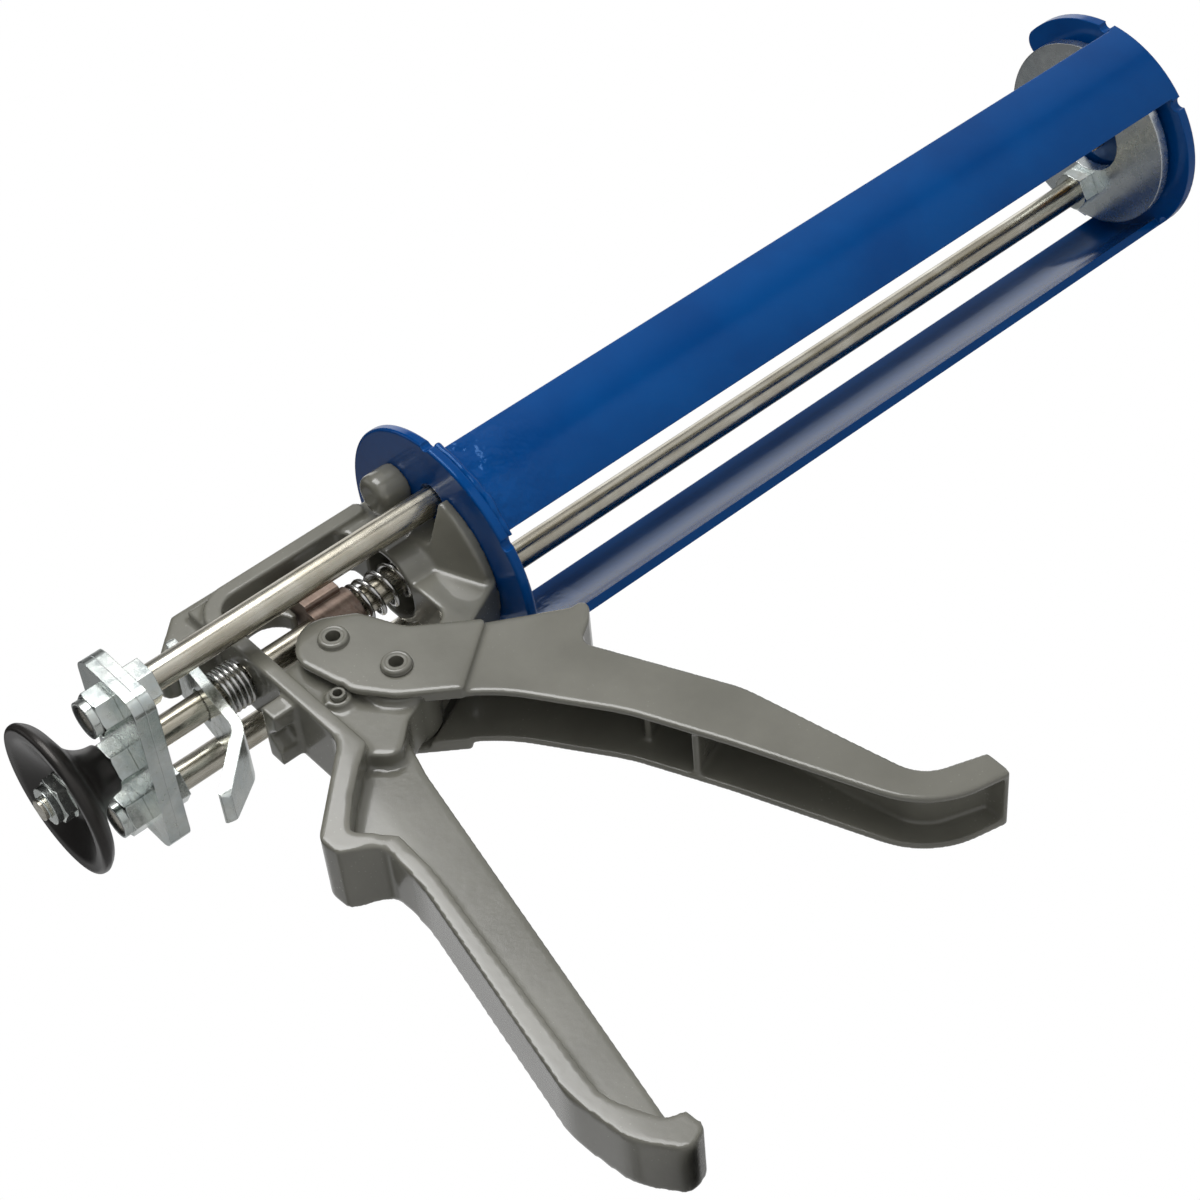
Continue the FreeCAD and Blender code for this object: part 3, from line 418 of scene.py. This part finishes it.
def metal(name, look):
    # bare or plated metal
    material, tree, shader = newMaterial(name)
    skin = placeGroup(tree, grainGroup, Stretch=look["stretch"], Grain_Depth=look["grainDepth"],
                      Cloud_Scale=look["cloudScale"], Edge_Radius=look["edgeRadius"])
    colour = mixColours(tree, skin.outputs["Cloud"], look["deep"], look["light"])
    streak = mathNode(tree, "MULTIPLY", skin.outputs["Streaks"], look["streakShare"])
    colour = mixColours(tree, streak, colour, look["streakColour"])
    # painted highlight: the rounded edges get a lighter colour, as if they caught the light
    edgeHighlight = mathNode(tree, "MULTIPLY", skin.outputs["Edge"], look["edgeHighlightShare"])
    colour = mixColours(tree, edgeHighlight, colour, look["edgeHighlightColour"])
    tree.links.new(colour, shader.inputs["Base Color"])
    rough = rangeNode(tree, skin.outputs["Streaks"], (0.0, 1.0), (look["smoothest"], look["roughest"]))
    tree.links.new(rough, shader.inputs["Roughness"])
    tree.links.new(skin.outputs["Normal"], shader.inputs["Normal"])
    shader.inputs["Metallic"].default_value = look["metallic"]
    return material


blueCoat = gloss("blueCoat", {
    "deep": (0.0, 0.047, 0.205), "light": (0.0, 0.060, 0.245),
    "edgeHighlightColour": (0.02, 0.12, 0.42), "edgeHighlightShare": 0.5,
    "smoothest": 0.13, "roughest": 0.19, "pitShare": 0.04,
    "waveScale": 420.0, "waveDepth": 0.000018, "edgeRadius": 0.0006,
    "specular": 0.4, "sheen": (0.2, 0.5, 1.0), "coat": 0.12, "coatRoughness": 0.04,
    "rippleDepth": 0.0026, "rippleReach": 0.032,
})
greyCoat = gloss("greyCoat", {
    "deep": (0.150, 0.147, 0.122), "light": (0.186, 0.182, 0.152),
    "edgeHighlightColour": (0.33, 0.32, 0.28), "edgeHighlightShare": 0.35,
    "smoothest": 0.18, "roughest": 0.27, "pitShare": 0.08,
    "waveScale": 520.0, "waveDepth": 0.00003, "edgeRadius": 0.0006,
    "specular": 0.5, "sheen": (1.0, 1.0, 1.0), "coat": 0.6, "coatRoughness": 0.06,
})
rodSteel = metal("rodSteel", {
    "deep": (0.50, 0.47, 0.39), "light": (0.70, 0.68, 0.60),
    "streakColour": (0.36, 0.30, 0.19), "streakShare": 0.32,
    "edgeHighlightColour": (0.85, 0.84, 0.8), "edgeHighlightShare": 0.5,
    "smoothest": 0.17, "roughest": 0.36, "metallic": 1.0,
    "stretch": (70.0, 1300.0, 1300.0), "grainDepth": 0.000012, "cloudScale": 55.0, "edgeRadius": 0.0004,
})
zincPlate = metal("zincPlate", {
    "deep": (0.60, 0.66, 0.66), "light": (0.78, 0.82, 0.80),
    "streakColour": (0.50, 0.47, 0.34), "streakShare": 0.25,
    "edgeHighlightColour": (0.85, 0.87, 0.85), "edgeHighlightShare": 0.5,
    "smoothest": 0.15, "roughest": 0.30, "metallic": 1.0,
    "stretch": (420.0, 420.0, 420.0), "grainDepth": 0.000004, "cloudScale": 95.0, "edgeRadius": 0.0004,
})
ringSteel = metal("ringSteel", {
    "deep": (0.64, 0.70, 0.73), "light": (0.76, 0.80, 0.81),
    "streakColour": (0.60, 0.59, 0.50), "streakShare": 0.12,
    "edgeHighlightColour": (0.9, 0.91, 0.9), "edgeHighlightShare": 0.7,
    "smoothest": 0.22, "roughest": 0.32, "metallic": 1.0,
    "stretch": (300.0, 300.0, 300.0), "grainDepth": 0.000002, "cloudScale": 60.0, "edgeRadius": 0.0005,
})
springSteel = metal("springSteel", {
    "deep": (0.55, 0.55, 0.54), "light": (0.78, 0.78, 0.76),
    "streakColour": (0.30, 0.28, 0.25), "streakShare": 0.3,
    "edgeHighlightColour": (0.8, 0.8, 0.8), "edgeHighlightShare": 0.0,
    "smoothest": 0.16, "roughest": 0.3, "metallic": 1.0,
    "stretch": (900.0, 900.0, 900.0), "grainDepth": 0.000006, "cloudScale": 160.0, "edgeRadius": 0.0001,
})
bronzeBlock = metal("bronzeBlock", {
    "deep": (0.13, 0.090, 0.070), "light": (0.24, 0.175, 0.14),
    "streakColour": (0.33, 0.27, 0.23), "streakShare": 0.5,
    "edgeHighlightColour": (0.5, 0.43, 0.37), "edgeHighlightShare": 0.5,
    "smoothest": 0.32, "roughest": 0.5, "metallic": 0.85,
    "stretch": (800.0, 800.0, 90.0), "grainDepth": 0.00002, "cloudScale": 130.0, "edgeRadius": 0.0004,
})
brassTip = metal("brassTip", {
    "deep": (0.42, 0.28, 0.09), "light": (0.62, 0.44, 0.18),
    "streakColour": (0.22, 0.13, 0.05), "streakShare": 0.5,
    "edgeHighlightColour": (0.85, 0.68, 0.4), "edgeHighlightShare": 0.5,
    "smoothest": 0.2, "roughest": 0.36, "metallic": 1.0,
    "stretch": (1500.0, 90.0, 90.0), "grainDepth": 0.00001, "cloudScale": 140.0, "edgeRadius": 0.0003,
})
copperBand = metal("copperBand", {
    "deep": (0.80, 0.40, 0.26), "light": (0.90, 0.54, 0.40),
    "streakColour": (0.55, 0.24, 0.14), "streakShare": 0.3,
    "edgeHighlightColour": (0.98, 0.72, 0.6), "edgeHighlightShare": 0.4,
    "smoothest": 0.2, "roughest": 0.34, "metallic": 1.0,
    "stretch": (1500.0, 120.0, 120.0), "grainDepth": 0.00001, "cloudScale": 160.0, "edgeRadius": 0.0002,
})
blackKnob = gloss("blackKnob", {
    "deep": (0.0085, 0.008, 0.0078), "light": (0.016, 0.0145, 0.0135),
    "edgeHighlightColour": (0.05, 0.046, 0.043), "edgeHighlightShare": 0.4,
    "smoothest": 0.27, "roughest": 0.38, "pitShare": 0.1,
    "waveScale": 900.0, "waveDepth": 0.00001, "edgeRadius": 0.0005,
    "specular": 0.4, "sheen": (1.0, 0.95, 0.9), "coat": 0.15, "coatRoughness": 0.2,
})
# painted shade: the insert is coloured near black for the shadow inside the nut, darker than the nylon itself
nylonInPaintedShade = gloss("nylonInPaintedShade", {
    "deep": (0.055, 0.060, 0.062), "light": (0.095, 0.10, 0.10),
    "edgeHighlightColour": (0.2, 0.2, 0.2), "edgeHighlightShare": 0.2,
    "smoothest": 0.38, "roughest": 0.5, "pitShare": 0.1,
    "waveScale": 1200.0, "waveDepth": 0.00001, "edgeRadius": 0.0002,
    "specular": 0.4, "sheen": (1.0, 1.0, 1.0), "coat": 0.0, "coatRoughness": 0.2,
})
finishOf = {
    "blue_coat": blueCoat, "grey_coat": greyCoat, "black_knob": blackKnob, "nylon_insert": nylonInPaintedShade,
    "rod_steel": rodSteel, "ring_steel": ringSteel, "spring_steel": springSteel, "zinc_plate": zincPlate,
    "bronze_block": bronzeBlock, "brass_tip": brassTip, "copper_band": copperBand,
}
for part in frame["record"]["subparts"]:
    mesh = nodes[part["node"]].data
    mesh.materials.clear()
    mesh.materials.append(finishOf[part["material_slot"]])
print("finishes made:", len(finishOf))


# castings with the soft edges of die cast metal under paint

castGrip = {"voxel": 0.0006, "smoothRounds": 6, "smoothShare": 0.5}
castTrigger = {"voxel": 0.0005, "smoothRounds": 7, "smoothShare": 0.5}


def softCopy(node, name, body, slotName, look):
    piece = bpy.data.objects.new(name, nodes[node].data.copy())
    bpy.context.scene.collection.objects.link(piece)
    mendMesh(piece)
    useModifier(piece, "REMESH", mode="VOXEL", voxel_size=look["voxel"], use_smooth_shade=True)
    useModifier(piece, "SMOOTH", factor=look["smoothShare"], iterations=look["smoothRounds"])
    shadeSmooth(piece)
    finishPiece(piece, name, body, slotName, finishOf[slotName], [node])
    print(name, "faces", len(piece.data.polygons))
    return piece


softCopy("handle_casting", "castGrip", "frame", "grey_coat", castGrip)
softCopy("trigger", "castTrigger", "lever", "grey_coat", castTrigger)
print("castings softened")


# springs wound from round wire, end turns closed

def coilRun(sides, wire, radius, start, pitch, turns, steps):
    bpy.ops.mesh.primitive_circle_add(vertices=sides, radius=wire, location=(start, radius, 0))
    run = bpy.context.object
    applyPlace(run)
    useModifier(run, "SCREW", axis="X", angle=math.tau, screw_offset=pitch, iterations=turns,
                steps=steps, render_steps=steps, use_smooth_shade=True)
    return run


def springPiece(name, node, joint, keep, look):
    low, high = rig.box(node)
    wire = look["wire"]
    radius = (high.y - low.y) / 2 - wire
    closed = look["closedPitch"] * wire
    first = low.x + wire
    middle = high.x - low.x - 2 * wire - 2 * closed
    turns = look["turns"]
    runs = [
        coilRun(look["sides"], wire, radius, first, closed, 1, look["steps"]),
        coilRun(look["sides"], wire, radius, first + closed, middle / turns, turns, look["steps"]),
        coilRun(look["sides"], wire, radius, first + closed + middle, closed, 1, look["steps"]),
    ]
    pick(*runs)
    bpy.ops.object.join()
    piece = bpy.context.object
    mendMesh(piece, closeEnds=True)
    finishPiece(piece, name, "frame", "spring_steel", springSteel, [node])
    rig.squash(piece, joint, axis=(1, 0, 0), anchor=(high.x, 0, 0), keep=keep(high.x - low.x))
    return piece


driveSpring = {"wire": 0.00075, "turns": 4, "closedPitch": 2.1, "sides": 10, "steps": 30}
releaseSpring = {"wire": 0.0007, "turns": 3, "closedPitch": 2.1, "sides": 10, "steps": 30}
driveTravel = joints["drive_stroke"]["range_m"][1]
catchTurn = math.radians(joints["catch_release"]["range_deg"][1])
catchTravel = joints["catch_release"]["pos_m"][2] * math.tan(catchTurn)
springPiece("driveSpring", "drive_spring", "drive_stroke",
            lambda length: 1 - driveTravel / length, driveSpring)
springPiece("releaseSpring", "release_spring", "catch_release",
            lambda length: 1 - catchTravel / length, releaseSpring)
print("springs wound")


# the screw thread that shows, on the stud behind the knob

thread = {
    "radius": 0.003, "ridge": 0.00042, "sink": 0.0002, "pitch": 0.0010, "sides": 4, "steps": 40,
    "tipGap": 0.0006, "intoNut": 0.0012,
}


def threadPiece(name, look):
    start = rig.box("centre_rod")[0].x + look["tipGap"]
    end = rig.box("knob_lock_nut")[0].x + look["intoNut"]
    turns = max(1, int((end - start) / look["pitch"]))
    piece = coilRun(look["sides"], look["ridge"], look["radius"] - look["sink"], start, look["pitch"], turns,
                    look["steps"])
    mendMesh(piece, closeEnds=True)
    return finishPiece(piece, name, "pusher", "zinc_plate", zincPlate)


threadPiece("studThread", thread)
print("thread cut")


# weld beads where the rails meet the rear plate

bead = {
    "ring": 0.0371, "thick": 0.0011, "standOff": 0.0006, "ringSteps": 320, "wireSteps": 10,
    "fromAngle": 1.0, "toAngle": 51.0, "lump": 0.0017, "lumpSize": 0.0050,
}


def cutAway(piece, normal):
    # keeps what lies behind a plane through the barrel axis
    pick(piece)
    bpy.ops.object.mode_set(mode="EDIT")
    bpy.ops.mesh.select_all(action="SELECT")
    bpy.ops.mesh.bisect(plane_co=(0, 0, 0), plane_no=normal, use_fill=True, clear_outer=True)
    bpy.ops.object.mode_set(mode="OBJECT")


def beadPiece(name, side):
    bpy.ops.mesh.primitive_torus_add(
        major_radius=bead["ring"], minor_radius=bead["thick"], major_segments=bead["ringSteps"],
        minor_segments=bead["wireSteps"], location=(bead["standOff"], 0, 0),
        rotation=(0, math.radians(90), 0))
    piece = bpy.context.object
    applyPlace(piece)
    for angle, keepSign in ((bead["fromAngle"], 1), (bead["toAngle"], -1)):
        turn = math.radians(angle)
        cutAway(piece, (0, keepSign * side * math.sin(turn), keepSign * math.cos(turn)))
    cutAway(piece, (0, -side, 0))
    lumps = bpy.data.textures.new(name + "Lumps", "CLOUDS")
    lumps.noise_scale = bead["lumpSize"]
    useModifier(piece, "DISPLACE", texture=lumps, strength=bead["lump"], mid_level=0.5)
    useModifier(piece, "SUBSURF", levels=1, render_levels=1)
    mendMesh(piece)
    shadeSmooth(piece)
    return finishPiece(piece, name, "frame", "blue_coat", blueCoat)


beadPiece("weldBeadLeft", 1)
beadPiece("weldBeadRight", -1)
print("weld beads laid")


# rolled lips on the hollow ends of the two rivets

rivetLip = {"reach": 0.0033, "thick": 0.0008, "inset": 0.75, "ringSteps": 64, "wireSteps": 14}


def lipPiece(name, node, body):
    low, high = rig.box(node)
    centre = (low + high) / 2
    faceY = low.y + rivetLip["thick"] * rivetLip["inset"]
    bpy.ops.mesh.primitive_torus_add(
        major_radius=rivetLip["reach"], minor_radius=rivetLip["thick"], major_segments=rivetLip["ringSteps"],
        minor_segments=rivetLip["wireSteps"], location=(centre.x, faceY, centre.z),
        rotation=(math.radians(90), 0, 0))
    piece = bpy.context.object
    shadeSmooth(piece)
    return finishPiece(piece, name, body, "grey_coat", greyCoat)


lipPiece("pivotRivetLip", "pivot_rivet", "frame")
lipPiece("driveRivetLip", "drive_rivet", "lever")
print("rivet lips rolled")


# knurl round the brass tip's head

knurl = {"headLength": 0.005, "teeth": 44, "rise": 0.00035, "inset": 0.00012, "margin": 0.0006}


def knurlPiece():
    low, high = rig.box("centre_tip")
    radius = (high.y - low.y) / 2
    length = knurl["headLength"] - 2 * knurl["margin"]
    centre = high.x - knurl["headLength"] / 2
    bpy.ops.mesh.primitive_cylinder_add(vertices=2 * knurl["teeth"], radius=radius, depth=length,
                                        location=(centre, 0, 0), rotation=(0, math.radians(90), 0))
    piece = bpy.context.object
    applyPlace(piece)
    sideFaces = sorted((face for face in piece.data.polygons if abs(face.normal.x) < 0.5),
                       key=lambda face: math.atan2(face.center.z, face.center.y))
    chosen = {face.index for face in sideFaces[::2]}
    for face in piece.data.polygons:
        face.select = face.index in chosen
    bpy.ops.object.mode_set(mode="EDIT")
    bpy.context.tool_settings.mesh_select_mode = (False, False, True)
    bpy.ops.mesh.inset(thickness=knurl["inset"], depth=knurl["rise"], use_individual=True)
    bpy.ops.object.mode_set(mode="OBJECT")
    return finishPiece(piece, "tipKnurl", "pusher", "brass_tip", brassTip)


knurlPiece()
print("tip knurled")


# floor, light and camera

studio = {
    "floorSize": 6.0, "floorGap": 0.0005, "floorColour": (0.82, 0.82, 0.82), "floorRoughness": 0.75,
    "floorGlow": 0.42, "sky": (1.0, 1.0, 1.0), "aim": (0.03, 0, -0.05),
    "blobScale": 1.5, "blobDetail": 1.0, "blobSpan": (0.38, 0.58), "blobLight": (0.03, 0.62),
}
eye = {
    "place": (-0.2903, -0.51804, -0.44934), "turn": (137.76, 41.09, 5.33), "lens": 81.72, "sensor": 36.0,
    "nearest": 0.01,
}
# each softbox stands at a place seen from the camera: to its right, upwards and back towards it
softboxes = {
    "keySoftbox": {"place": (-0.35, 0.75, 0.45), "size": 0.6, "power": 6.0},
    "sideSoftbox": {"place": (0.85, 0.05, 0.45), "size": 0.9, "power": 2.2},
    "backSoftbox": {"place": (-0.1, 0.55, -0.75), "size": 0.8, "power": 1.4},
}

eyeTurn = [math.radians(angle) for angle in eye["turn"]]
bpy.ops.object.camera_add(location=eye["place"], rotation=eyeTurn)
camera = bpy.context.object
camera.name = "photoCamera"
camera.data.lens = eye["lens"]
camera.data.sensor_width = eye["sensor"]
camera.data.clip_start = eye["nearest"]
bpy.context.scene.camera = camera

bpy.ops.mesh.primitive_plane_add(size=studio["floorSize"], location=(0, 0, cadLow.z - studio["floorGap"]))
floor = bpy.context.object
floor.name = "studioFloor"
floorPaper, paperTree, paperShader = newMaterial("floorPaper")
paperShader.inputs["Base Color"].default_value = (*studio["floorColour"], 1)
paperShader.inputs["Roughness"].default_value = studio["floorRoughness"]
watched = paperTree.nodes.new("ShaderNodeLightPath")
glow = mathNode(paperTree, "MULTIPLY", watched.outputs["Is Camera Ray"], studio["floorGlow"])
paperShader.inputs["Emission Color"].default_value = (*studio["sky"], 1)
paperTree.links.new(glow, paperShader.inputs["Emission Strength"])
clear = paperTree.nodes.new("ShaderNodeBsdfTransparent")
underside = paperTree.nodes.new("ShaderNodeNewGeometry")
pickSide = paperTree.nodes.new("ShaderNodeMixShader")
paperTree.links.new(underside.outputs["Backfacing"], pickSide.inputs[0])
paperTree.links.new(paperShader.outputs[0], pickSide.inputs[1])
paperTree.links.new(clear.outputs[0], pickSide.inputs[2])
paperTree.links.new(pickSide.outputs[0], paperTree.nodes["Material Output"].inputs["Surface"])
floor.data.materials.append(floorPaper)
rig.stage(floor)

world = bpy.data.worlds.new("studioSky")
bpy.context.scene.world = world
world.use_nodes = True
skyTree = world.node_tree
backdrop = skyTree.nodes["Background"]
backdrop.inputs["Color"].default_value = (*studio["sky"], 1)
fill = skyTree.nodes.new("ShaderNodeBackground")
fill.inputs["Color"].default_value = (*studio["sky"], 1)
skyWay = skyTree.nodes.new("ShaderNodeTexCoord").outputs["Generated"]
blobs = noiseNode(skyTree, skyWay, Scale=studio["blobScale"], Detail=studio["blobDetail"])
shine = rangeNode(skyTree, blobs.outputs["Fac"], studio["blobSpan"], studio["blobLight"])
skyTree.links.new(shine, fill.inputs["Strength"])
seen = skyTree.nodes.new("ShaderNodeLightPath")
pickSky = skyTree.nodes.new("ShaderNodeMixShader")
skyTree.links.new(seen.outputs["Is Camera Ray"], pickSky.inputs[0])
skyTree.links.new(fill.outputs[0], pickSky.inputs[1])
skyTree.links.new(backdrop.outputs[0], pickSky.inputs[2])
skyTree.links.new(pickSky.outputs[0], skyTree.nodes["World Output"].inputs["Surface"])

turn = Euler(eyeTurn).to_matrix()
aim = Vector(studio["aim"])
for name, box in softboxes.items():
    place = aim + turn @ Vector(box["place"])
    facing = (aim - place).to_track_quat("-Z", "Y").to_euler()
    bpy.ops.object.light_add(type="AREA", location=place, rotation=facing)
    lamp = bpy.context.object
    lamp.name = name
    lamp.data.size = box["size"]
    lamp.data.energy = box["power"]
bpy.context.scene.view_settings.view_transform = "Standard"
print("stage set")

newLow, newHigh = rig.bounds()
with open("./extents.json", "w") as sizeFile:
    json.dump({"cad": [list(cadLow), list(cadHigh)], "visual": [list(newLow), list(newHigh)]}, sizeFile)
